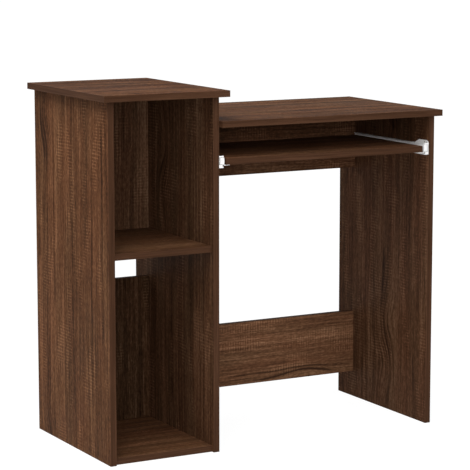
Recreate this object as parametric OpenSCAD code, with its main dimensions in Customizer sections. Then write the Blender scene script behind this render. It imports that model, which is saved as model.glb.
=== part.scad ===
// Computer desk with a storage tower on its left and a keyboard tray on roller slides.
// Flat-pack boards, joined by cam fittings and wooden dowels.
// Millimetres, +Z up, the front is at -Y. The origin is on the floor, under the middle of the whole desk.

/* [Overall] */
// Overall width, over both tops
overall_w = 900; // [840:5:1100]
// Overall depth, from the tower top's front edge to the rear edges
overall_d = 428; // [410:1:500]
// Thickness of every board
board_t = 15; // [15:1:18]
// Thickness of the glued edge bands
edging_t = 0.8; // [0.6:0.1:1]

/* [Tower] */
// Height of the tower, with its top
tower_h = 845; // [835:5:900]
// Width of the tower over its two sides
tower_w = 280; // [270:5:320]
// Overhang of the tower top past both sides
tower_top_side = 18; // [5:1:25]
// Overhang of the tower top past the front
tower_top_front = 20; // [5:1:30]
// Height of the shelf's underside
shelf_z = 471; // [440:1:500]
// Height of the open cable gap under the shelf
cable_gap_h = 104; // [60:1:120]
// Setback of the shelf and the tower bottom from the sides' front edges
shelf_setback = 8; // [0:1:20]

/* [Desk] */
// Height of the writing surface
desk_h = 775; // [770:1:790]
// Overhang of the desk top past the right side
desk_top_side = 12; // [5:1:20]
// Overhang of the desk top past the front
desk_top_front = 17; // [5:1:20]
// Distance from the rear edges of the sides to the rear faces of the cross panels
back_inset = 57; // [40:1:60]
// Height of the desk back panel and of the foot stretcher
panel_h = 160; // [140:5:180]
// Height of the stretcher's lower edge
stretcher_z = 66; // [40:1:80]

/* [Keyboard tray] */
// Height of the tray's underside
tray_z = 672.5; // [668:0.5:674]
// Depth of the tray
tray_d = 300; // [300:5:310]
// Gap from each side board to the tray's end
tray_gap = 18.5; // [17.5:0.5:19]

/* [Roller slides] */
// Length of the rails and the runners
slide_l = 320; // [316:1:322]
// Thickness of the slides' steel sheet
sheet_t = 1; // [0.8:0.1:1]
// Radius of the nylon rollers
roller_r = 10; // [9:0.1:10]

/* [Hidden] */

$fn = 48;
nudge = 0.01; // lets a cut run past the face that it opens

// Planes of the carcass
tower_x0 = -overall_w / 2 + tower_top_side;
tower_x1 = tower_x0 + tower_w;
desk_x1 = overall_w / 2 - desk_top_side;
front_y = -overall_d / 2 + tower_top_front;
rear_y = overall_d / 2;
panel_y1 = rear_y - back_inset;
panel_y0 = panel_y1 - board_t;
panel_mid_y = (panel_y0 + panel_y1) / 2;
shelf_y0 = front_y + shelf_setback;
bay_x0 = tower_x0 + board_t;
bay_x1 = tower_x1 - board_t;
knee_x1 = desk_x1 - board_t;
tower_under = tower_h - board_t;
desk_under = desk_h - board_t;
lower_back_z1 = shelf_z - cable_gap_h;

// Directions
RIGHT = [1, 0, 0];
LEFT = [-1, 0, 0];
BACK = [0, 1, 0];
FRONT = [0, -1, 0];
UP = [0, 0, 1];
DOWN = [0, 0, -1];

// Every board: name, lowest corner, highest corner, direction of its thickness, edges that carry a band
BOARDS = [
    ["tower_left_side", [tower_x0, front_y, 0], [bay_x0, rear_y, tower_under], RIGHT, [FRONT, BACK]],
    ["tower_right_side", [bay_x1, front_y, 0], [tower_x1, rear_y, tower_under], RIGHT, [FRONT, BACK]],
    ["tower_top", [tower_x0 - tower_top_side, front_y - tower_top_front, tower_under],
        [tower_x1 + tower_top_side, rear_y, tower_h], UP, [FRONT, BACK, LEFT, RIGHT]],
    ["tower_bottom", [bay_x0, shelf_y0, 0], [bay_x1, panel_y1, board_t], UP, [FRONT, BACK]],
    ["tower_shelf", [bay_x0, shelf_y0, shelf_z], [bay_x1, panel_y1, shelf_z + board_t], UP, [FRONT, BACK]],
    ["tower_back_upper", [bay_x0, panel_y0, shelf_z + board_t], [bay_x1, panel_y1, tower_under], BACK, []],
    ["tower_back_lower", [bay_x0, panel_y0, board_t], [bay_x1, panel_y1, lower_back_z1], BACK, [UP]],
    ["desk_top", [tower_x1, front_y - desk_top_front, desk_under],
        [desk_x1 + desk_top_side, rear_y, desk_h], UP, [FRONT, BACK, LEFT, RIGHT]],
    ["desk_right_side", [knee_x1, front_y, 0], [desk_x1, rear_y, desk_under], RIGHT, [FRONT, BACK]],
    ["desk_back_panel", [tower_x1, panel_y0, desk_under - panel_h],
        [knee_x1, panel_y1, desk_under], BACK, [DOWN]],
    ["foot_stretcher", [tower_x1, panel_y0, stretcher_z],
        [knee_x1, panel_y1, stretcher_z + panel_h], BACK, [UP, DOWN]],
    ["keyboard_tray", [tower_x1 + tray_gap, front_y, tray_z],
        [knee_x1 - tray_gap, front_y + tray_d, tray_z + board_t], UP, [FRONT, BACK, LEFT, RIGHT]]
];
function board_row(name) = [for (b = BOARDS) if (b[0] == name) b][0];

// Cam fittings and dowels. Measures along a fitting start at the plane where two boards meet.
cam_x = 34;
cam_r = 7.4;
cam_l = 12;
cam_pocket_r = 7.5;
cam_pocket_l = 12.5;
cam_flush = 0.3;
bolt_channel_r = 3.6;
bolt_thread_r = 2.5;
bolt_thread_l = 10.5;
thread_turns = 6;
bolt_hole_l = 11.5;
dowel_r = 3.95;
dowel_hole_r = 4;
dowel_edge_l = 14;
dowel_face_l = 11;
dowel_spare = 0.4;
cover_r = 9;
cover_t = 0.4;

// Places of the fittings along their edges
deep = [front_y + 60, front_y + 300];
deep_dowels = [front_y + 110, front_y + 250];
shelf_bolts = [shelf_y0 + 40, panel_y1 - 48];
shelf_dowel = [(shelf_y0 + panel_y1) / 2];
upper_z = shelf_z + board_t;
upper_bolts = [upper_z + 50, tower_under - 50];
upper_dowel = [upper_z + 105];
lower_bolts = [board_t + 38, lower_back_z1 - 38];
lower_dowel = [lower_back_z1 - 95];
panel_fit = 40; // from the middle of a cross panel to each of its bolts
desk_panel_mid = desk_under - panel_h / 2;
foot_mid = stretcher_z + panel_h / 2;
half_t = board_t / 2;

// Every joint between two boards: board that holds the cams, board that takes the bolts, a point on the
// joint's line, direction into the first board, direction that the cams face, direction along the
// joint, places of the bolts and of the dowels along it, and whether the cams have covers
JOINTS = [
    ["tower_left_side", "tower_top", [tower_x0 + half_t, 0, tower_under], DOWN, RIGHT, BACK,
        deep, deep_dowels, true],
    ["tower_right_side", "tower_top", [tower_x1 - half_t, 0, tower_under], DOWN, LEFT, BACK,
        deep, deep_dowels, true],
    ["desk_right_side", "desk_top", [desk_x1 - half_t, 0, desk_under], DOWN, LEFT, BACK,
        deep, deep_dowels, true],
    ["desk_top", "tower_right_side", [tower_x1, 0, desk_h - half_t], RIGHT, DOWN, BACK,
        deep, deep_dowels, false],
    ["tower_bottom", "tower_left_side", [bay_x0, 0, half_t], RIGHT, DOWN, BACK,
        shelf_bolts, shelf_dowel, false],
    ["tower_bottom", "tower_right_side", [bay_x1, 0, half_t], LEFT, DOWN, BACK,
        shelf_bolts, shelf_dowel, false],
    ["tower_shelf", "tower_left_side", [bay_x0, 0, shelf_z + half_t], RIGHT, DOWN, BACK,
        shelf_bolts, shelf_dowel, false],
    ["tower_shelf", "tower_right_side", [bay_x1, 0, shelf_z + half_t], LEFT, DOWN, BACK,
        shelf_bolts, shelf_dowel, false],
    ["tower_back_upper", "tower_left_side", [bay_x0, panel_mid_y, 0], RIGHT, BACK, UP,
        upper_bolts, upper_dowel, false],
    ["tower_back_upper", "tower_right_side", [bay_x1, panel_mid_y, 0], LEFT, BACK, UP,
        upper_bolts, upper_dowel, false],
    ["tower_back_lower", "tower_left_side", [bay_x0, panel_mid_y, 0], RIGHT, BACK, UP,
        lower_bolts, lower_dowel, false],
    ["tower_back_lower", "tower_right_side", [bay_x1, panel_mid_y, 0], LEFT, BACK, UP,
        lower_bolts, lower_dowel, false],
    ["desk_back_panel", "tower_right_side", [tower_x1, panel_mid_y, desk_panel_mid], RIGHT, BACK, UP,
        [-panel_fit, panel_fit], [0], false],
    ["desk_back_panel", "desk_right_side", [knee_x1, panel_mid_y, desk_panel_mid], LEFT, BACK, UP,
        [-panel_fit, panel_fit], [0], false],
    ["foot_stretcher", "tower_right_side", [tower_x1, panel_mid_y, foot_mid], RIGHT, BACK, UP,
        [-panel_fit, panel_fit], [0], false],
    ["foot_stretcher", "desk_right_side", [knee_x1, panel_mid_y, foot_mid], LEFT, BACK, UP,
        [-panel_fit, panel_fit], [0], false]
];

// Slides, measured in the slide's own frame: x out from the side board, y back from the board's front
// edge, z up from the tray's underside
rail_y0 = 1;
rail_y1 = rail_y0 + slide_l;
rail_z0 = -6.5;
rail_z1 = 18.5;
rail_w = 12;
rail_curb = 3;
rail_seam_z = 0; // between the parts of the web that bend into the bottom and into the top flange
section_y0 = 62; // where the rail's top flange begins
// Upper outline of the web in front of the top flange, from the front: y, z
flare = [[rail_y0, 21.5], [4, 26], [9, 27.5], [41, 27.5], [section_y0, rail_z1 - sheet_t]];
lug_w = 9.5;
lug_top = 0.5;
runner_y0 = 0.5;
runner_y1 = runner_y0 + slide_l - 5;
runner_x0 = 12.5;
runner_x1 = runner_x0 + sheet_t;
runner_top = 17.1;
runner_foot = 27;
runner_arm = 3;
roller_x0 = 3.2;
roller_w = 6.8;
roller_gap = 0.2; // between a roller and the flange that it carries or rolls on
brow_w = rail_w;
brow_z0 = runner_top + 0.8;
brow_z1 = flare[0][1];
front_roller_y = 13;
rear_roller_y = 305;
front_roller_z = runner_top - sheet_t - roller_r - roller_gap;
rear_roller_z = rail_z0 + sheet_t + roller_r + roller_gap;
tray_travel = 230;
stop_tab_h = 4;
stop_tab_y = rear_roller_y - tray_travel - 9;
axle_r = 2.5;
axle_collar_r = 4;
axle_head_r = 3.5;
axle_head_t = 1.3;
axle_neck_l = 3.3;
axle_play = 0.05;
rivet_r = 4;
rivet_t = 0.8;
rail_screw_ys = [37, 165, 293];
rail_screw_z = 10;
tray_screw_ys = [40, 150, 260];
tray_screw_x = 22.8;
screw_r = 1.75;
screw_hole_r = 2.1;
screw_head_r = 3.2;
screw_head_t = 1.2;
screw_l = 12;
mark_hole_r = 1.9;
mark_hole_ys = [8.4, 17.3];
mark_hole_z = 23;
bend_r = 1.6;

// Colours
oak_side = [0.24, 0.16, 0.11];
oak_flat = [0.30, 0.20, 0.14];
oak_edge = [0.33, 0.22, 0.17];
coated = [0.92, 0.92, 0.90];
nylon = [0.97, 0.97, 0.96];
zinc = [0.72, 0.73, 0.75];
beech = [0.80, 0.63, 0.42];

// Turns local +X to x_dir and local +Z to z_dir
module turned(x_dir, z_dir) {
    y_dir = cross(z_dir, x_dir);
    multmatrix([
        [x_dir[0], y_dir[0], z_dir[0], 0],
        [x_dir[1], y_dir[1], z_dir[1], 0],
        [x_dir[2], y_dir[2], z_dir[2], 0]
    ]) children();
}

// Lays a shape that stands on local +Z along local +X
module along_x() {
    rotate([0, 90, 0]) children();
}

// Carries out children() at every place in list, along direction dir from point p
module at_places(p, dir, list, x_dir, z_dir) {
    for (s = list) {
        translate(p + s * dir) turned(x_dir, z_dir) children();
    }
}

// ---- Boards ----

function any(list) = len([for (v = list) if (v) v]) > 0;
function holds(list, dir) = any([for (d = list) d == dir]);
function size_along(v, dir) = abs(v * dir);

// A board's core, without its bands, and with the bores for its fittings
module board(name) {
    row = board_row(name);
    low = row[1] + edging_t * [
        holds(row[4], LEFT) ? 1 : 0, holds(row[4], FRONT) ? 1 : 0, holds(row[4], DOWN) ? 1 : 0];
    high = row[2] - edging_t * [
        holds(row[4], RIGHT) ? 1 : 0, holds(row[4], BACK) ? 1 : 0, holds(row[4], UP) ? 1 : 0];
    difference() {
        translate(low) cube(high - low);
        fitting_bores(name);
    }
}

// Section of an edge band: flat against the core, its two outer corners rounded
module band_section() {
    corner_r = edging_t * 0.75;
    translate([0, -half_t]) square([edging_t - corner_r, board_t]);
    translate([0, -half_t + corner_r]) square([edging_t, board_t - 2 * corner_r]);
    for (side = [-1, 1]) {
        intersection() {
            translate([edging_t - corner_r, side * (half_t - corner_r)]) circle(corner_r, $fn = 24);
            translate([0, -half_t]) square([edging_t, board_t]);
        }
    }
}

// The bands of one board, the front and rear ones at full length and the end ones between them, with
// the bores of any fittings that pass through them
module edging(name) {
    row = board_row(name);
    middle = (row[1] + row[2]) / 2;
    span = row[2] - row[1];
    difference() {
        for (dir = row[4]) {
            along = cross(row[3], dir);
            between = abs(along[1]) == 1 ? 2 * edging_t : 0;
            translate(middle + dir * (size_along(span, dir) / 2 - edging_t))
                turned(dir, along)
                    linear_extrude(size_along(span, along) - between, center = true)
                        band_section();
        }
        fitting_bores(name);
    }
}

// ---- Fittings, along local +X into the board that holds the cam, which faces local +Z ----

module cam_bores() {
    along_x() translate([0, 0, -nudge]) cylinder(r = bolt_channel_r, h = cam_x - cam_pocket_r + 1);
    translate([cam_x, 0, half_t - cam_pocket_l]) cylinder(r = cam_pocket_r, h = cam_pocket_l + nudge);
}

module bolt_bore() {
    translate([-bolt_hole_l, 0, 0]) along_x() cylinder(r = bolt_thread_r, h = bolt_hole_l + nudge);
}

module dowel_bore(depth) {
    along_x() translate([0, 0, -nudge]) cylinder(r = dowel_hole_r, h = depth + dowel_spare + nudge);
}

// All bores in one board
module fitting_bores(name) {
    for (j = JOINTS) {
        if (j[0] == name) {
            at_places(j[2], j[5], j[6], j[3], j[4]) cam_bores();
            at_places(j[2], j[5], j[7], j[3], j[4]) dowel_bore(dowel_edge_l);
        }
        if (j[1] == name) {
            at_places(j[2], j[5], j[6], j[3], j[4]) bolt_bore();
            at_places(j[2], j[5], j[7], -j[3], j[4]) dowel_bore(dowel_face_l);
        }
    }
}

module cam_lock() {
    slot_h = 5.2;
    cross_l = 8;
    cross_w = 1.6;
    cross_depth = 3;
    top_z = half_t - cam_flush;
    translate([cam_x, 0, 0]) difference() {
        translate([0, 0, top_z - cam_l]) cylinder(r = cam_r, h = cam_l);
        sphere(r = 4);
        translate([-cam_r - 1, -slot_h / 2, -slot_h / 2]) cube([cam_r + 1, slot_h, slot_h]);
        for (turn = [0, 90]) {
            rotate([0, 0, turn]) translate([-cross_l / 2, -cross_w / 2, top_z - cross_depth])
                cube([cross_l, cross_w, cross_depth + 1]);
        }
    }
}

// Turned outline of a cam bolt: thread, collar, shank, neck and head
module cam_bolt() {
    root_r = 2;
    pitch = bolt_thread_l / thread_turns;
    thread = [for (i = [0 : thread_turns - 1]) each [
        [root_r, -bolt_thread_l + i * pitch], [bolt_thread_r - 0.05, -bolt_thread_l + (i + 0.5) * pitch]]];
    body = [[root_r, 0], [3.4, 0], [3.4, 1.5], [3, 1.5], [3, 26], [2, 26], [2, 32.4], [3.2, 32.9],
        [3.2, 34.6], [2.6, 35.4], [0, 35.4]];
    along_x() rotate_extrude() polygon(concat([[0, -bolt_thread_l]], thread, body));
}

module wood_dowel() {
    bevel = 0.8;
    along_x() rotate_extrude() polygon([
        [0, -dowel_face_l], [dowel_r - bevel, -dowel_face_l], [dowel_r, -dowel_face_l + bevel],
        [dowel_r, dowel_edge_l - bevel], [dowel_r - bevel, dowel_edge_l], [0, dowel_edge_l]]);
}

// ---- Slides ----

// Carries out children() in the frame of the left or of the right slide
module slide_frame(side) {
    if (side == "left") {
        translate([tower_x1, front_y, tray_z]) children();
    } else {
        translate([knee_x1, front_y, tray_z]) mirror([1, 0, 0]) children();
    }
}

// A length of folded sheet, its section drawn with x out from the board and y up
module folded(y0, y1) {
    translate([0, y1, 0]) rotate([90, 0, 0]) linear_extrude(y1 - y0) children();
}

// A flat piece of sheet against the board, drawn with x back along the slide and y up
module web_plate(x0) {
    translate([x0, 0, 0]) rotate([90, 0, 90]) linear_extrude(sheet_t) children();
}

// Quarter ring of a fold. The corner of the sheet's outside lies at [x, y], and sx and sy are +1 or -1
// towards the inside of the fold.
module fold(x, y, sx, sy) {
    translate([x + sx * bend_r, y + sy * bend_r]) intersection() {
        difference() {
            circle(bend_r);
            circle(bend_r - sheet_t);
        }
        translate([sx > 0 ? -bend_r : 0, sy > 0 ? -bend_r : 0]) square(bend_r);
    }
}

// Lower part of the rail's C section: web and bottom flange with a low curb
module rail_foot_section() {
    translate([0, rail_z0 + bend_r]) square([sheet_t, rail_seam_z - rail_z0 - bend_r]);
    fold(0, rail_z0, 1, 1);
    translate([bend_r, rail_z0]) square([rail_w - 2 * bend_r, sheet_t]);
    fold(rail_w, rail_z0, -1, 1);
    translate([rail_w - sheet_t, rail_z0 + bend_r]) square([sheet_t, rail_curb - bend_r]);
}

// Upper part of the rail's C section: web and plain top flange
module rail_head_section() {
    translate([0, rail_seam_z]) square([sheet_t, rail_z1 - bend_r - rail_seam_z]);
    fold(0, rail_z1, 1, -1);
    translate([bend_r, rail_z1 - sheet_t]) square([rail_w - bend_r, sheet_t]);
}

// Z section of the runner: foot under the tray, web, top flange over the front roller
module runner_section() {
    translate([runner_x0 + bend_r, 0]) mirror([0, 1]) square([runner_foot - runner_x0 - bend_r, sheet_t]);
    fold(runner_x0, -sheet_t, 1, 1);
    translate([runner_x0, bend_r - sheet_t]) square([sheet_t, runner_top + sheet_t - 2 * bend_r]);
    fold(runner_x1, runner_top, -1, -1);
    translate([runner_arm, runner_top - sheet_t]) square([runner_x1 - bend_r - runner_arm, sheet_t]);
}

// Screw for sheet metal on board, its head's underside at the origin and its point towards local -Z
module panel_screw() {
    root_r = 1.2;
    turns = 8;
    tip = 2.4;
    pitch = (screw_l - tip) / turns;
    thread = [for (i = [0 : turns - 1]) each [
        [root_r, tip - screw_l + i * pitch], [screw_r - 0.05, tip - screw_l + (i + 0.5) * pitch]]];
    difference() {
        rotate_extrude() polygon(concat(
            [[0, -screw_l]], thread, [[root_r, 0], [screw_head_r, 0], [screw_head_r, 0.5],
                [screw_head_r - 0.6, screw_head_t], [0, screw_head_t]]));
        for (turn = [0, 90]) {
            rotate([0, 0, turn]) translate([-1.7, -0.4, screw_head_t - 0.8]) cube([3.4, 0.8, 1]);
        }
    }
}

// Places of the rail's screws, local +Z out of the side board
module at_rail_screws() {
    for (y = rail_screw_ys) {
        translate([sheet_t, y, rail_screw_z]) rotate([0, 90, 0]) children();
    }
}

// Places of the tray's screws, local +Z down out of the runner's foot
module at_tray_screws() {
    for (y = tray_screw_ys) {
        translate([tray_screw_x, y, -sheet_t]) rotate([180, 0, 0]) children();
    }
}

module screw_bore() {
    bore_l = screw_l + 0.5;
    translate([0, 0, -bore_l]) cylinder(r = screw_r, h = bore_l + nudge);
}

module slide_rail(side) {
    slide_frame(side) difference() {
        union() {
            folded(rail_y0, rail_y1) rail_foot_section();
            folded(section_y0, rail_y1) rail_head_section();
            // web that widens around the front roller
            web_plate(0) polygon(concat(
                [[section_y0, rail_seam_z], [rail_y0, rail_seam_z]], flare));
            // lugs turned in at the front, under and over the runner
            translate([0, rail_y0, rail_z0]) cube([lug_w, sheet_t, lug_top - rail_z0]);
            translate([0, rail_y0, brow_z0]) cube([brow_w, sheet_t, brow_z1 - brow_z0]);
            // tab that stops the rear roller
            translate([sheet_t + 1, stop_tab_y - sheet_t, rail_z0 + sheet_t])
                cube([rail_w - 2 * sheet_t - 2, sheet_t, stop_tab_h]);
        }
        translate([-nudge, front_roller_y, front_roller_z]) along_x()
            cylinder(r = axle_r, h = sheet_t + 2 * nudge);
        at_rail_screws() translate([0, 0, -sheet_t - nudge]) cylinder(r = screw_hole_r, h = sheet_t + 1);
        for (y = mark_hole_ys) {
            translate([-nudge, y, mark_hole_z]) along_x() cylinder(r = mark_hole_r, h = sheet_t + 1);
        }
    }
}

module tray_runner(side) {
    slide_frame(side) difference() {
        union() {
            folded(runner_y0, runner_y1) runner_section();
            // tab turned in at the front, which closes against the front roller's side
            translate([runner_arm, runner_y0, lug_top + 1])
                cube([runner_x0 + nudge - runner_arm, sheet_t, runner_top - sheet_t - lug_top - 1 + nudge]);
        }
        translate([runner_x0 - nudge, rear_roller_y, rear_roller_z]) along_x()
            cylinder(r = axle_r, h = sheet_t + 1);
        at_tray_screws() translate([0, 0, -sheet_t - 1]) cylinder(r = screw_hole_r, h = sheet_t + 2);
    }
}

// Rivet that a roller turns on. Its shank fills a hole in sheet that spans local z = -sheet_t to 0, and
// the roller snaps over its head. collar_l is the spacer between the sheet and the roller.
module axle(collar_l, outer_head) {
    neck_top = collar_l + axle_neck_l;
    outline = [[0, -sheet_t], [axle_r, -sheet_t], [axle_r, 0], [axle_collar_r, 0],
        [axle_collar_r, collar_l - axle_play], [axle_r, collar_l - axle_play], [axle_r, neck_top],
        [axle_head_r, neck_top + 0.3], [axle_head_r - 0.4, neck_top + axle_head_t],
        [0, neck_top + axle_head_t]];
    rotate_extrude() polygon(outline);
    if (outer_head) {
        translate([0, 0, -sheet_t - rivet_t]) cylinder(r1 = rivet_r - 0.6, r2 = rivet_r, h = rivet_t);
    }
}

// Nylon roller, open towards the axle at local z = 0 and closed at the other face
module roller() {
    rim = 0.6;
    dish = 0.7;
    pocket_l = axle_neck_l + axle_head_t + 2 * axle_play;
    rotate_extrude() polygon([
        [axle_r + axle_play, 0], [4.4, 0], [4.4, dish], [roller_r - 2, dish], [roller_r - 2, 0],
        [roller_r - rim, 0], [roller_r, rim], [roller_r, roller_w - rim], [roller_r - rim, roller_w],
        [roller_r - 2, roller_w], [roller_r - 2.6, roller_w - dish], [0, roller_w - dish],
        [0, pocket_l], [axle_head_r + axle_play, pocket_l],
        [axle_head_r + axle_play, axle_neck_l - axle_play],
        [axle_r + axle_play, axle_neck_l - axle_play]]);
}

module front_place(side) {
    slide_frame(side) translate([sheet_t, front_roller_y, front_roller_z]) along_x() children();
}

module rear_place(side) {
    slide_frame(side) translate([runner_x0, rear_roller_y, rear_roller_z]) rotate([0, -90, 0]) children();
}

module front_axle(side) {
    front_place(side) axle(roller_x0 - sheet_t, false);
}

module rear_axle(side) {
    rear_place(side) axle(runner_x0 - roller_x0 - roller_w, true);
}

module front_roller(side) {
    front_place(side) translate([0, 0, roller_x0 - sheet_t]) roller();
}

module rear_roller(side) {
    rear_place(side) translate([0, 0, runner_x0 - roller_x0 - roller_w]) roller();
}

// ---- Sub-parts ----

module tower_left_side() { color(oak_side) board("tower_left_side"); }
module tower_left_side_edging() { color(oak_edge) edging("tower_left_side"); }

module tower_right_side() {
    color(oak_side) difference() {
        board("tower_right_side");
        slide_frame("left") at_rail_screws() screw_bore();
    }
}
module tower_right_side_edging() { color(oak_edge) edging("tower_right_side"); }

module tower_top() { color(oak_flat) board("tower_top"); }
module tower_top_edging() { color(oak_edge) edging("tower_top"); }

module tower_bottom() { color(oak_flat) board("tower_bottom"); }
module tower_bottom_edging() { color(oak_edge) edging("tower_bottom"); }

module tower_shelf() { color(oak_flat) board("tower_shelf"); }
module tower_shelf_edging() { color(oak_edge) edging("tower_shelf"); }

module tower_back_upper() { color(oak_side) board("tower_back_upper"); }

module tower_back_lower() { color(oak_side) board("tower_back_lower"); }
module tower_back_lower_edging() { color(oak_edge) edging("tower_back_lower"); }

module desk_top() { color(oak_flat) board("desk_top"); }
module desk_top_edging() { color(oak_edge) edging("desk_top"); }

module desk_right_side() {
    color(oak_side) difference() {
        board("desk_right_side");
        slide_frame("right") at_rail_screws() screw_bore();
    }
}
module desk_right_side_edging() { color(oak_edge) edging("desk_right_side"); }

module desk_back_panel() { color(oak_flat) board("desk_back_panel"); }
module desk_back_panel_edging() { color(oak_edge) edging("desk_back_panel"); }

module foot_stretcher() { color(oak_flat) board("foot_stretcher"); }
module foot_stretcher_edging() { color(oak_edge) edging("foot_stretcher"); }

module keyboard_tray() {
    color(oak_flat) difference() {
        board("keyboard_tray");
        for (side = ["left", "right"]) {
            slide_frame(side) at_tray_screws() screw_bore();
        }
    }
}
module keyboard_tray_edging() { color(oak_edge) edging("keyboard_tray"); }

module cam_locks() {
    color(zinc) for (j = JOINTS) {
        at_places(j[2], j[5], j[6], j[3], j[4]) cam_lock();
    }
}

module cam_bolts() {
    color(zinc) for (j = JOINTS) {
        at_places(j[2], j[5], j[6], j[3], j[4]) cam_bolt();
    }
}

module wood_dowels() {
    color(beech) for (j = JOINTS) {
        at_places(j[2], j[5], j[7], j[3], j[4]) wood_dowel();
    }
}

module cam_covers() {
    color(oak_side) for (j = JOINTS) {
        if (j[8]) {
            at_places(j[2], j[5], j[6], j[3], j[4])
                translate([cam_x, 0, half_t]) cylinder(r = cover_r, h = cover_t);
        }
    }
}

module slide_rail_left() { color(coated) slide_rail("left"); }
module slide_rail_right() { color(coated) slide_rail("right"); }
module tray_runner_left() { color(coated) tray_runner("left"); }
module tray_runner_right() { color(coated) tray_runner("right"); }
module front_axle_left() { color(zinc) front_axle("left"); }
module front_axle_right() { color(zinc) front_axle("right"); }
module front_roller_left() { color(nylon) front_roller("left"); }
module front_roller_right() { color(nylon) front_roller("right"); }
module rear_axle_left() { color(zinc) rear_axle("left"); }
module rear_axle_right() { color(zinc) rear_axle("right"); }
module rear_roller_left() { color(nylon) rear_roller("left"); }
module rear_roller_right() { color(nylon) rear_roller("right"); }

module rail_screws() {
    color(zinc) for (side = ["left", "right"]) {
        slide_frame(side) at_rail_screws() panel_screw();
    }
}

module tray_screws() {
    color(zinc) for (side = ["left", "right"]) {
        slide_frame(side) at_tray_screws() panel_screw();
    }
}

tower_left_side();
tower_left_side_edging();
tower_right_side();
tower_right_side_edging();
tower_top();
tower_top_edging();
tower_bottom();
tower_bottom_edging();
tower_shelf();
tower_shelf_edging();
tower_back_upper();
tower_back_lower();
tower_back_lower_edging();
desk_top();
desk_top_edging();
desk_right_side();
desk_right_side_edging();
desk_back_panel();
desk_back_panel_edging();
foot_stretcher();
foot_stretcher_edging();
keyboard_tray();
keyboard_tray_edging();
cam_locks();
cam_bolts();
wood_dowels();
cam_covers();
slide_rail_left();
slide_rail_right();
tray_runner_left();
tray_runner_right();
front_axle_left();
front_axle_right();
front_roller_left();
front_roller_right();
rear_axle_left();
rear_axle_right();
rear_roller_left();
rear_roller_right();
rail_screws();
tray_screws();
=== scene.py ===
"""Looks for the computer desk with keyboard tray: materials, floor, light and camera.

Lengths are in metres in the row frame: +X right, +Y back, +Z up, the origin on the floor under the desk.
"""

import math

import bpy
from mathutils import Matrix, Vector


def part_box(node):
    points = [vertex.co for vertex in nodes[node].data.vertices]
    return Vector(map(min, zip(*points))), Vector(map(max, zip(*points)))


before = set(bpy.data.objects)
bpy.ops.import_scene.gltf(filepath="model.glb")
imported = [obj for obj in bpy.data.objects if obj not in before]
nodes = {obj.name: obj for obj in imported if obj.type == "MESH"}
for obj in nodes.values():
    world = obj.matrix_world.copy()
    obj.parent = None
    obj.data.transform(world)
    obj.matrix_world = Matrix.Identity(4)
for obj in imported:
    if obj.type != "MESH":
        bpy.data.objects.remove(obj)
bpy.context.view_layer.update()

AXES = "XYZ"

# Boards: node, axis of the thickness, axis of the grain, seed of the print, and a colour factor that paints
# light and shade: each board gets a lighter or darker copy of the same foil for how much light falls on it
BOARDS = [
    ("tower_left_side", "X", "Z", 1.3, (1.24, 1.20, 1.16)),
    ("tower_right_side", "X", "Z", 5.1, (0.92, 0.98, 1.10)),
    ("tower_top", "Z", "X", 9.4, (0.94, 0.84, 0.72)),
    ("tower_bottom", "Z", "X", 12.2, (1.00, 1.00, 1.04)),
    ("tower_shelf", "Z", "X", 15.7, (1.00, 1.00, 1.04)),
    ("tower_back_upper", "Y", "Z", 19.1, (1.02, 1.12, 1.30)),
    ("tower_back_lower", "Y", "Z", 23.6, (0.64, 0.70, 0.76)),
    ("desk_top", "Z", "X", 27.8, (1.10, 1.05, 0.95)),
    ("desk_right_side", "X", "Z", 31.5, (0.78, 0.80, 0.88)),
    ("desk_back_panel", "Y", "X", 36.3, (1.14, 1.18, 1.32)),
    ("foot_stretcher", "Y", "X", 45.3, (1.58, 1.68, 1.88)),
    ("keyboard_tray", "Z", "X", 44.2, (1.62, 1.66, 1.80)),
]

# Contrast of the print on boards where it isn't 1
CONTRASTS = {"foot_stretcher": 0.80, "desk_right_side": 0.88, "tower_top": 1.40, "desk_top": 1.20}

# Dark heartwood lines of a board's print: place across the grain, half width, start and end along it,
# strength
HEART_LINES = {
    "tower_left_side": [
        (-0.102, 0.007, 0.10, 0.70, 0.8), (0.001, 0.005, 0.02, 0.60, 0.6), (0.109, 0.005, 0.30, 0.80, 0.6),
        (-0.156, 0.006, 0.25, 0.80, 0.7), (0.196, 0.006, 0.40, 0.86, 0.9), (0.172, 0.005, 0.64, 0.83, 1.1),
        (0.152, 0.004, 0.62, 0.82, 0.8)],
    "desk_right_side": [
        (0.000, 0.006, 0.22, 0.44, 1.1), (-0.140, 0.005, 0.05, 0.52, 0.5), (0.085, 0.005, 0.10, 0.60, 0.5)],
    "tower_right_side": [
        (0.020, 0.006, 0.05, 0.40, 0.7), (-0.110, 0.005, 0.30, 0.80, 0.6)],
    "foot_stretcher": [
        (0.088, 0.0026, 0.04, 0.42, 1.3), (0.072, 0.0024, 0.12, 0.38, 1.2),
        (0.176, 0.003, -0.15, -0.02, 1.3), (0.164, 0.003, -0.15, 0.03, 1.2)],
    "desk_top": [
        (-0.176, 0.006, 0.10, 0.50, 0.5), (-0.128, 0.013, -0.20, 0.42, 0.40), (-0.060, 0.006, 0.05, 0.50, 0.7),
        (0.010, 0.014, -0.20, 0.50, 0.35), (0.082, 0.008, 0.00, 0.50, 0.6), (0.150, 0.012, -0.10, 0.46, 0.40)],
    "tower_top": [
        (-0.165, 0.012, -0.50, -0.22, 0.40), (-0.095, 0.007, -0.50, -0.10, 0.6),
        (-0.010, 0.014, -0.44, -0.10, 0.40), (0.085, 0.008, -0.50, -0.16, 0.6),
        (0.160, 0.012, -0.46, -0.10, 0.4)],
    "keyboard_tray": [
        (-0.135, 0.006, -0.10, 0.30, 0.5), (-0.080, 0.010, 0.00, 0.42, 0.4), (0.010, 0.009, -0.14, 0.30, 0.5)],
}

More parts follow.
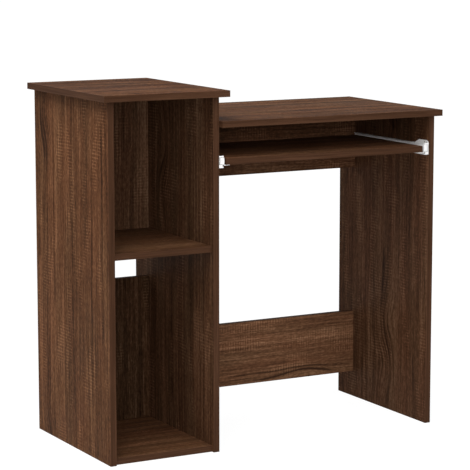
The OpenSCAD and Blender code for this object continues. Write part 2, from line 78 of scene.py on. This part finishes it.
# Figures where the grain leaves its straight run: centre across and along, half size across and along,
# sideways shift of the grain at the centre, lean of the grain through the figure
FIGURES = {
    "tower_left_side": [
        (0.160, 0.730, 0.030, 0.075, 0.0, -0.40), (0.150, 0.030, 0.030, 0.060, 0.0, -0.35)],
    "desk_right_side": [
        (-0.014, 0.175, 0.036, 0.085, 0.0, -0.58), (-0.044, 0.726, 0.018, 0.026, 0.010, 0.0)],
    "foot_stretcher": [
        (0.080, 0.280, 0.022, 0.070, -0.014, 0.0), (0.176, -0.110, 0.018, 0.060, 0.0, 0.16)],
    "tower_right_side": [(0.060, 0.640, 0.030, 0.090, 0.0, 0.40)],
}

# Soft lights: name, direction from the desk, power in watts
LIGHTS = [
    ("key", (-0.50, -0.31, 0.81), 46.0),
    ("high_front", (-0.30, -0.60, 0.74), 27.0),
    ("low_front", (-0.475, -0.866, 0.20), 36.0),
    ("right_front", (0.30, -0.80, 0.50), 22.0),
    ("left_side", (-1.0, -0.10, 1.70), 42.0),
    ("right_side", (1.0, 0.10, 0.20), 28.0),
    ("rear_left", (-0.40, 0.85, 0.55), 20.0),
]
LIGHT_SIZE = 1.8
LIGHT_DISTANCE = 3.4
LIGHT_AIM = Vector((0.0, 0.0, 0.45))


class Graph:
    """Adds nodes to one tree. Inputs are sockets or plain values, and results are sockets."""

    def __init__(self, tree):
        self.tree = tree

    def feed(self, socket, value):
        if isinstance(value, bpy.types.NodeSocket):
            self.tree.links.new(value, socket)
        else:
            socket.default_value = value

    def node(self, kind, inputs=(), **settings):
        made = self.tree.nodes.new(kind)
        for name, value in settings.items():
            setattr(made, name, value)
        for name, value in dict(inputs).items():
            self.feed(made.inputs[name], value)
        return made

    def math(self, operation, *values):
        return self.node("ShaderNodeMath", enumerate(values), operation=operation).outputs[0]

    def add(self, first, *others):
        for other in others:
            first = self.math("ADD", first, other)
        return first

    def times(self, first, *others):
        for other in others:
            first = self.math("MULTIPLY", first, other)
        return first

    def weigh(self, base, *layers):
        """The base plus each layer, a pair of a value and its weight."""
        return self.add(base, *[self.times(value, weight) for value, weight in layers])

    def vector(self, x, y, z):
        return self.node("ShaderNodeCombineXYZ", {0: x, 1: y, 2: z}).outputs[0]

    def split(self, vector):
        return self.node("ShaderNodeSeparateXYZ", {0: vector}).outputs

    def noise(self, vector, detail=2.0, scale=1.0, roughness=0.5):
        values = {"Vector": vector, "Scale": scale, "Detail": detail, "Roughness": roughness}
        return self.node("ShaderNodeTexNoise", values).outputs[0]

    def ramp(self, value, low, high, to_low=0.0, to_high=1.0, smooth=True):
        kind = "SMOOTHSTEP" if smooth else "LINEAR"
        values = {0: value, 1: low, 2: high, 3: to_low, 4: to_high}
        return self.node("ShaderNodeMapRange", values, interpolation_type=kind, clamp=True).outputs[0]

    def choose(self, factor, at_zero, at_one):
        return self.ramp(factor, 0.0, 1.0, at_zero, at_one, smooth=False)

    def bell(self, value, centre, half_width):
        """1 at the centre, falling smoothly to about 0.02 at twice the half width."""
        scaled = self.math("DIVIDE", self.math("SUBTRACT", value, centre), half_width)
        return self.math("EXPONENT", self.times(scaled, scaled, -1.0))

    def mix(self, factor, a, b, blend="MIX"):
        made = self.node("ShaderNodeMix", {0: factor, 6: a, 7: b}, data_type="RGBA", blend_type=blend)
        return made.outputs[2]

    def three_tones(self, tone, dark, middle, light):
        """dark where the tone is 0, middle at 0.5 and light at 1."""
        lower = self.mix(self.ramp(tone, 0.0, 0.5, smooth=False), dark, middle)
        return self.mix(self.ramp(tone, 0.5, 1.0, smooth=False), lower, light)

    def bump(self, height, distance):
        return self.node("ShaderNodeBump", {"Height": height, "Distance": distance}).outputs[0]


def rgb(red, green, blue):
    return (red, green, blue, 1.0)


WHITE = rgb(1.0, 1.0, 1.0)

# ---- Prints, as node groups ----

PRINT_OUTPUTS = [("Colour", "Color"), ("Roughness", "Float"), ("Height", "Float")]


def node_group(name, inputs, outputs):
    """An empty node group, with its graph, its inputs by name, and its output node."""
    tree = bpy.data.node_groups.new(name, "ShaderNodeTree")
    for socket in inputs:
        tree.interface.new_socket(socket, in_out="INPUT", socket_type="NodeSocketFloat")
    for socket, kind in outputs:
        tree.interface.new_socket(socket, in_out="OUTPUT", socket_type="NodeSocket" + kind)
    graph = Graph(tree)
    return tree, graph, graph.node("NodeGroupInput").outputs, graph.node("NodeGroupOutput").inputs


def stretched_noise(g, along, seed, place, per_m_across, per_m_along, detail, layer):
    """Noise drawn out along the grain. Each layer number gives another pattern."""
    point = g.vector(g.times(place, per_m_across), g.times(along, per_m_along), g.add(seed, layer))
    return g.noise(point, detail)


def oak_group():
    """The foil's dark oak print. Across and Along are places on the board, Shift moves the grain sideways,
    Figure is 1 inside a figure, Dark adds heartwood lines, and Contrast spreads the tones."""
    rings_per_m = 84.0
    planks_per_m = 19.0
    saw_pitch = 0.0074
    inputs = ["Across", "Along", "Seed", "Shift", "Figure", "Dark", "Contrast"]
    tree, g, given, out = node_group("oak_print", inputs, PRINT_OUTPUTS)
    across, along, seed = given["Across"], given["Along"], given["Seed"]

    def grain(per_m_across, per_m_along, detail, layer, place):
        return stretched_noise(g, along, seed, place, per_m_across, per_m_along, detail, layer)

    # The grain wavers a few millimetres sideways along the board
    waver = g.times(g.math("SUBTRACT", grain(6, 2.0, 1.0, 0.0, across), 0.5), 0.014)
    place = g.add(across, waver, given["Shift"])

    # Wide bands, soft streaks, long fine lines, fibres and specks, each about -1 to 1
    wide = g.ramp(grain(36, 0.9, 3.0, 1.7, place), 0.32, 0.68, -1.0, 1.0)
    streak = g.ramp(grain(105, 1.7, 2.0, 2.9, place), 0.34, 0.66, -1.0, 1.0)
    line = g.ramp(grain(190, 2.6, 2.0, 21.7, place), 0.38, 0.62, -1.0, 1.0)
    fibre = g.ramp(grain(620, 16.0, 3.0, 4.3, place), 0.34, 0.66, -1.0, 1.0)
    speck = g.ramp(grain(300, 95.0, 3.0, 5.9, place), 0.34, 0.66, -1.0, 1.0)

    # Planks glued side by side, each with its own tone
    cells = g.node("ShaderNodeTexVoronoi", {
        "W": g.add(g.times(place, planks_per_m), seed), "Scale": 1.0, "Randomness": 0.9,
    }, voronoi_dimensions="1D")
    plank = g.choose(g.split(cells.outputs["Color"])[0], -1.0, 1.0)

    # Growth rings are the level lines of a slowly changing field, and they are deepest in the figures
    swell = g.times(g.math("SUBTRACT", grain(11, 1.5, 1.0, 7.1, place), 0.5), 0.09)
    rings = g.math("FRACT", g.times(g.add(place, swell), rings_per_m))
    late_wood = g.times(g.ramp(rings, 0.40, 0.90), g.ramp(rings, 1.0, 0.92))
    ringed = g.math("MAXIMUM", g.ramp(grain(14, 1.4, 2.0, 8.3, place), 0.54, 0.66), given["Figure"])
    ring_dark = g.times(late_wood, ringed)
    ring_depth = g.ramp(given["Figure"], 0.1, 0.6, -0.10, -0.52)

    # Narrow dark veins
    vein = g.bell(grain(46, 1.3, 2.0, 9.7, place), 0.5, 0.012)

    # Patches of light saw marks run straight across the grain, broken by the fibres
    jitter = g.times(grain(9, 16.0, 1.0, 11.3, across), 1.6)
    teeth = g.math("FRACT", g.add(g.math("DIVIDE", along, saw_pitch), jitter))
    tooth = g.times(g.ramp(teeth, 0.0, 0.22), g.ramp(teeth, 0.56, 0.30))
    patch = g.ramp(grain(21, 6.0, 2.0, 12.9, place), 0.51, 0.64, 0.06, 1.0)
    broken = g.ramp(grain(210, 34.0, 2.0, 14.1, place), 0.36, 0.58, 0.15, 1.0)
    saw = g.times(tooth, patch, broken)

    # Open pores are short dark dashes, and rays are short light ones
    pores = g.ramp(grain(900, 58.0, 1.0, 15.3, place), 0.60, 0.72)
    flecks = g.ramp(grain(300, 110.0, 1.0, 16.9, place), 0.60, 0.74)

    pattern = g.weigh(
        0.0, (wide, 0.12), (streak, 0.05), (line, 0.11), (fibre, 0.14), (speck, 0.13), (plank, 0.05),
        (ring_dark, ring_depth), (vein, -0.12), (saw, 0.36), (pores, -0.16), (flecks, 0.16))
    tone = g.weigh(0.45, (pattern, given["Contrast"]), (given["Dark"], -0.44))
    colour = g.three_tones(
        tone, rgb(0.026, 0.0113, 0.0057), rgb(0.093, 0.0408, 0.0180), rgb(0.216, 0.1075, 0.0540))

    # Slow drift between a redder and a greener brown, and places worn smoother by hands
    hue = g.ramp(grain(20, 2.6, 2.0, 18.7, place), 0.34, 0.66)
    tint = g.mix(hue, rgb(1.03, 0.975, 0.96), rgb(0.98, 1.015, 1.02))
    worn = g.ramp(grain(9, 7.0, 3.0, 20.3, across), 0.35, 0.70)

    g.feed(out["Colour"], g.mix(1.0, colour, tint, "MULTIPLY"))
    g.feed(out["Roughness"], g.weigh(0.44, (fibre, 0.03), (pores, 0.12), (saw, -0.04), (worn, 0.07)))
    g.feed(out["Height"], g.weigh(0.5, (fibre, 0.16), (pores, -0.5), (saw, 0.14), (ring_dark, -0.12)))
    return tree


def band_group():
    """The edge band's plainer, redder print, with a painted highlight along its corners. Across runs over the
    board's thickness, and Arris is 1 at the band's corners."""
    tree, g, given, out = node_group("band_print", ["Across", "Along", "Seed", "Arris"], PRINT_OUTPUTS)

    def grain(per_m_across, per_m_along, detail, layer):
        return stretched_noise(
            g, given["Along"], given["Seed"], given["Across"], per_m_across, per_m_along, detail, layer)

    wide = g.ramp(grain(60, 1.6, 2.0, 0.0), 0.30, 0.70, -1.0, 1.0)
    streak = g.ramp(grain(330, 6.0, 3.0, 1.7), 0.30, 0.70, -1.0, 1.0)
    fibre = g.ramp(grain(1300, 22.0, 2.0, 3.1), 0.30, 0.70, -1.0, 1.0)
    pores = g.ramp(grain(2300, 120.0, 1.0, 4.7), 0.62, 0.72)
    arris = given["Arris"]
    # The arris term lightens the tone at the band's corners: a painted highlight.
    tone = g.weigh(0.5, (wide, 0.12), (streak, 0.14), (fibre, 0.10), (pores, -0.16), (arris, 0.16))
    g.feed(out["Colour"], g.three_tones(
        tone, rgb(0.0255, 0.0110, 0.0057), rgb(0.0580, 0.0260, 0.0134), rgb(0.105, 0.0495, 0.0265)))
    g.feed(out["Roughness"], g.weigh(0.42, (fibre, 0.04), (pores, 0.10), (arris, -0.08)))
    g.feed(out["Height"], g.weigh(0.5, (fibre, 0.18), (pores, -0.4)))
    return tree


OAK = oak_group()
BAND = band_group()


def printed(g, group, **values):
    """Colour, roughness and height of a print at the given inputs."""
    node = g.node("ShaderNodeGroup", node_tree=group)
    for socket, value in values.items():
        g.feed(node.inputs[socket], value)
    return [node.outputs[name] for name, _ in PRINT_OUTPUTS]


# ---- Materials ----

def material(name, metallic=0.0, specular=0.5):
    """A new material, with its graph and its shader's sockets."""
    made = bpy.data.materials.new(name)
    made.use_nodes = True
    shader = made.node_tree.nodes["Principled BSDF"].inputs
    shader["Metallic"].default_value = metallic
    shader["Specular IOR Level"].default_value = specular
    return made, Graph(made.node_tree), shader


def dress(node, made):
    """Gives a CAD node this material in place of its own."""
    mesh = nodes[node].data
    mesh.materials.clear()
    mesh.materials.append(made)


def object_places(g):
    """Coordinates and normal of the shaded point, each as three sockets."""
    source = g.node("ShaderNodeTexCoord")
    return g.split(source.outputs["Object"]), g.split(source.outputs["Normal"])


def apply_skin(g, shader, colour, roughness, height, depth):
    """Colour, roughness and a bump of this depth."""
    g.feed(shader["Base Color"], colour)
    g.feed(shader["Roughness"], roughness)
    g.feed(shader["Normal"], g.bump(height, depth))


def chipboard(g, place):
    """The raw core that shows at unbanded edges and in bores: colour, roughness, height."""
    chips_per_m, clumps_per_m = 520.0, 90.0
    point = g.vector(place[0], place[1], place[2])
    chips = g.node("ShaderNodeTexVoronoi", {"Vector": point, "Scale": chips_per_m})
    scaled = g.node("ShaderNodeVectorMath", {0: point, "Scale": clumps_per_m}, operation="SCALE").outputs[0]
    tone = g.weigh(0.0, (g.split(chips.outputs["Color"])[0], 0.6), (g.noise(scaled, 4.0), 0.7))
    colour = g.mix(g.ramp(tone, 0.2, 1.1), rgb(0.115, 0.066, 0.034), rgb(0.40, 0.275, 0.155))
    return colour, 0.85, tone


def figured_grain(g, node, across, along):
    """Sideways bend of the grain in the board's figures, and how far the place is inside one."""
    bend, inside = 0.0, 0.0
    for centre_across, centre_along, half_across, half_along, shift, lean in FIGURES.get(node, []):
        window = g.times(g.bell(across, centre_across, half_across), g.bell(along, centre_along, half_along))
        run = g.weigh(shift, (g.math("SUBTRACT", along, centre_along), lean))
        bend = g.add(bend, g.times(window, run))
        inside = g.add(inside, window)
    return bend, inside


def heartwood(g, node, seed, across, along):
    """Darkness of the board's heartwood lines, which drift sideways and fade here and there."""
    drift_per_m, drift_size = 2.6, 0.024
    fade_length = 0.06
    dark = 0.0
    for centre, half_width, start, end, strength in HEART_LINES.get(node, []):
        wander = g.noise(g.vector(seed + centre * 40, g.times(along, drift_per_m), 0.0))
        line = g.bell(g.weigh(across, (wander, drift_size)), centre + drift_size / 2, half_width)
        length = g.times(g.ramp(along, start, start + fade_length), g.ramp(along, end, end - fade_length))
        patches = g.noise(g.vector(centre * 70, g.times(along, 9.0), seed))
        dark = g.add(dark, g.times(line, length, g.ramp(patches, 0.30, 0.55, 0.35, 1.0), strength))
    return dark


def board_material(node, thickness, along, seed, tone):
    """Oak foil on the two faces of a board, and bare core where there is no foil."""
    foil_depth = 0.0002
    made, g, shader = material(node + "_oak", specular=0.02)
    place, normal = object_places(g)
    t, l = AXES.index(thickness), AXES.index(along)
    a = 3 - t - l
    bend, inside = figured_grain(g, node, place[a], place[l])
    dark = heartwood(g, node, seed, g.add(place[a], bend), place[l])
    colour, rough, height = printed(
        g, OAK, Across=place[a], Along=place[l], Seed=seed, Shift=bend, Figure=inside, Dark=dark,
        Contrast=CONTRASTS.get(node, 1.0))
    # The board's factor paints light and shade: it makes this copy of the foil lighter or darker for the light
    # that reaches the board.
    colour = g.mix(1.0, colour, rgb(*tone), "MULTIPLY")

    low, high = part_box(node)
    at_low = g.math("LESS_THAN", place[t], low[t] + foil_depth)
    at_high = g.math("GREATER_THAN", place[t], high[t] - foil_depth)
    level = g.math("GREATER_THAN", g.math("ABSOLUTE", normal[t]), 0.7)
    foil = g.times(g.add(at_low, at_high), level)
    core_colour, core_rough, core_height = chipboard(g, place)
    apply_skin(g, shader, g.mix(foil, core_colour, colour), g.choose(foil, core_rough, rough),
               g.choose(foil, core_height, height), 0.00012)
    return made


def band_material(node, thickness, seed):
    """The strips run along whichever of the board's two long directions they don't face."""
    arris_width = 0.0011
    made, g, shader = material(node + "_band", specular=0.03)
    place, normal = object_places(g)
    t = AXES.index(thickness)
    p, q = [i for i in range(3) if i != t]
    faces_p = g.math("GREATER_THAN", g.math("ABSOLUTE", normal[p]), g.math("ABSOLUTE", normal[q]))
    low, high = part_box(node)
    middle, half = (low[t] + high[t]) / 2, (high[t] - low[t]) / 2
    from_middle = g.math("ABSOLUTE", g.math("SUBTRACT", place[t], middle))
    # Arris marks the band's corners, where the print gets a painted highlight.
    skin = printed(g, BAND, Across=place[t], Along=g.choose(faces_p, place[p], place[q]), Seed=seed,
                   Arris=g.ramp(from_middle, half - arris_width, half))
    apply_skin(g, shader, *skin, 0.00006)
    return made


def cover_material():
    """The foil of the cam covers, each with the painted light and shade factor of the side board that it sits
    on.
    """
    made, g, shader = material("cover_foil_oak", specular=0.02)
    place, _ = object_places(g)
    colour, rough, height = printed(g, OAK, Across=place[1], Along=place[2], Seed=57.0, Contrast=1.0)
    # Each cover takes its board's factor, which paints light and shade onto the foil.
    tones = {row[0]: row[4] for row in BOARDS}
    tone = rgb(*tones["tower_left_side"])
    for board in ("tower_right_side", "desk_right_side"):
        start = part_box(board)[0][0] - 0.01
        tone = g.mix(g.math("GREATER_THAN", place[0], start), tone, rgb(*tones[board]))
    apply_skin(g, shader, g.mix(1.0, colour, tone, "MULTIPLY"), rough, height, 0.00005)
    return made


def even_noise(g, per_m, detail=3.0):
    """Noise with the same grain in all directions."""
    return g.noise(g.node("ShaderNodeTexCoord").outputs["Object"], detail, per_m, roughness=0.55)


def coated_steel_material():
    """White powder coat with a fine orange-peel skin and faint handling marks."""
    made, g, shader = material("powder_coated_steel")
    smudge = g.ramp(even_noise(g, 55.0), 0.40, 0.70)
    colour = g.mix(smudge, rgb(0.90, 0.885, 0.87), rgb(0.84, 0.82, 0.80))
    apply_skin(g, shader, colour, g.choose(smudge, 0.30, 0.42), even_noise(g, 1500.0, 1.0), 0.00005)
    return made


def nylon_material():
    """Slightly cloudy white nylon."""
    made, g, shader = material("moulded_nylon")
    cloud = even_noise(g, 260.0)
    colour = g.mix(g.ramp(cloud, 0.35, 0.65), rgb(0.74, 0.735, 0.70), rgb(0.66, 0.65, 0.61))
    rough = g.ramp(cloud, 0.3, 0.7, 0.32, 0.45)
    apply_skin(g, shader, colour, rough, even_noise(g, 2600.0, 2.0), 0.00002)
    return made


def metal_material(name, bright, dull, rough, specks_per_m, depth):
    """Bare or plated metal with dull stains."""
    made, g, shader = material(name, metallic=1.0)
    stain = g.ramp(even_noise(g, 170.0, 4.0), 0.35, 0.68)
    speck = even_noise(g, specks_per_m)
    roughness = g.weigh(rough, (speck, 0.16), (stain, 0.10))
    apply_skin(g, shader, g.mix(stain, bright, dull), roughness, speck, depth)
    return made


def beech_material():
    """Turned beech, its grain upright."""
    per_m_across, per_m_along = 1400.0, 160.0
    made, g, shader = material("turned_beech", specular=0.3)
    place, _ = object_places(g)
    point = g.vector(
        g.times(place[0], per_m_across), g.times(place[1], per_m_across), g.times(place[2], per_m_along))
    lines = g.noise(point, 3.0)
    colour = g.mix(g.ramp(lines, 0.3, 0.7), rgb(0.42, 0.26, 0.13), rgb(0.58, 0.40, 0.22))
    apply_skin(g, shader, colour, 0.6, lines, 0.00008)
    return made


def dress_all():
    """Every CAD node gets its procedural material."""
    for node, thickness, along, seed, tone in BOARDS:
        dress(node, board_material(node, thickness, along, seed, tone))
        if node + "_edging" in nodes:
            dress(node + "_edging", band_material(node + "_edging", thickness, seed))
    dress("cam_covers", cover_material())
    dress("wood_dowels", beech_material())
    dress("cam_locks", metal_material(
        "zinc_casting", rgb(0.56, 0.57, 0.59), rgb(0.40, 0.41, 0.43), rough=0.38, specks_per_m=2200.0,
        depth=0.00006))
    plated = metal_material(
        "zinc_plate", rgb(0.66, 0.67, 0.69), rgb(0.52, 0.53, 0.56), rough=0.22, specks_per_m=3000.0,
        depth=0.00002)
    for node in ("cam_bolts", "rail_screws", "tray_screws"):
        dress(node, plated)
    steel = coated_steel_material()
    nylon = nylon_material()
    for side in ("left", "right"):
        dress("slide_rail_" + side, steel)
        dress("tray_runner_" + side, steel)
        for end in ("front", "rear"):
            dress(f"{end}_axle_{side}", plated)
            dress(f"{end}_roller_{side}", nylon)


# ---- Stage ----

def make_floor():
    """A pale floor that fades into the white backdrop well outside the desk."""
    reach = 6.0
    fade_start, fade_end = 1.3, 3.2
    mesh = bpy.data.meshes.new("floor")
    corners = [(-reach, -reach, 0), (reach, -reach, 0), (reach, reach, 0), (-reach, reach, 0)]
    mesh.from_pydata(corners, [], [(0, 1, 2, 3)])
    floor = bpy.data.objects.new("floor", mesh)
    bpy.context.scene.collection.objects.link(floor)
    made = bpy.data.materials.new("pale_floor")
    made.use_nodes = True
    made.node_tree.nodes.clear()
    g = Graph(made.node_tree)

    # What lights the desk is a grey floor with a faint glow, and what the camera sees is mostly white
    matt = g.node("ShaderNodeBsdfDiffuse", {"Color": rgb(0.50, 0.50, 0.50)}).outputs[0]
    glow = g.node("ShaderNodeEmission", {"Color": WHITE, "Strength": 0.20}).outputs[0]
    lit = g.node("ShaderNodeAddShader", {0: matt, 1: glow}).outputs[0]
    pale = g.node("ShaderNodeEmission", {"Color": WHITE, "Strength": 1.2}).outputs[0]
    seen = g.times(g.node("ShaderNodeLightPath").outputs["Is Camera Ray"], 0.74)
    surface = g.node("ShaderNodeMixShader", {0: seen, 1: lit, 2: pale}).outputs[0]

    place, _ = object_places(g)
    radius = g.math("SQRT", g.add(g.times(place[0], place[0]), g.times(place[1], place[1])))
    clear = g.node("ShaderNodeBsdfTransparent").outputs[0]
    fade = g.ramp(radius, fade_start, fade_end)
    faded = g.node("ShaderNodeMixShader", {0: fade, 1: surface, 2: clear}).outputs[0]
    g.node("ShaderNodeOutputMaterial", {"Surface": faded})
    mesh.materials.append(made)


def area_light(name, towards, power):
    """A square soft light that stands in the direction `towards` from the desk and faces it."""
    light = bpy.data.lights.new(name, "AREA")
    light.shape, light.size, light.energy = "SQUARE", LIGHT_SIZE, power
    lamp = bpy.data.objects.new(name, light)
    back = Vector(towards).normalized()
    lamp.location = LIGHT_AIM + back * LIGHT_DISTANCE
    lamp.rotation_euler = back.to_track_quat("Z", "Y").to_euler()
    bpy.context.scene.collection.objects.link(lamp)


def make_world():
    """White behind the desk, and an even dim sky as far as the light on it goes."""
    world = bpy.data.worlds.new("studio")
    world.use_nodes = True
    bpy.context.scene.world = world
    world.node_tree.nodes.clear()
    g = Graph(world.node_tree)
    seen = g.node("ShaderNodeLightPath").outputs["Is Camera Ray"]
    sky = g.node("ShaderNodeBackground", {"Color": rgb(0.94, 0.975, 1.05), "Strength": 0.32}).outputs[0]
    backdrop = g.node("ShaderNodeBackground", {"Color": WHITE, "Strength": 1.05}).outputs[0]
    surface = g.node("ShaderNodeMixShader", {0: seen, 1: sky, 2: backdrop}).outputs[0]
    g.node("ShaderNodeOutputWorld", {"Surface": surface})


def make_camera():
    """A long lens, tilted down a little, with the desk's left side and front in view."""
    tilt_down, turn = 8.758, -28.736
    data = bpy.data.cameras.new("camera")
    data.sensor_width = 36.0
    data.lens = 158.11
    data.clip_start, data.clip_end = 0.1, 200.0
    camera = bpy.data.objects.new("camera", data)
    camera.location = (-2.3725, -4.3186, 1.2334)
    camera.rotation_euler = (math.radians(90 - tilt_down), 0.0, math.radians(turn))
    bpy.context.scene.collection.objects.link(camera)
    bpy.context.scene.camera = camera


dress_all()
make_floor()
make_world()
for name, towards, power in LIGHTS:
    area_light(name, towards, power)
make_camera()
bpy.context.scene.view_settings.view_transform = "Standard"
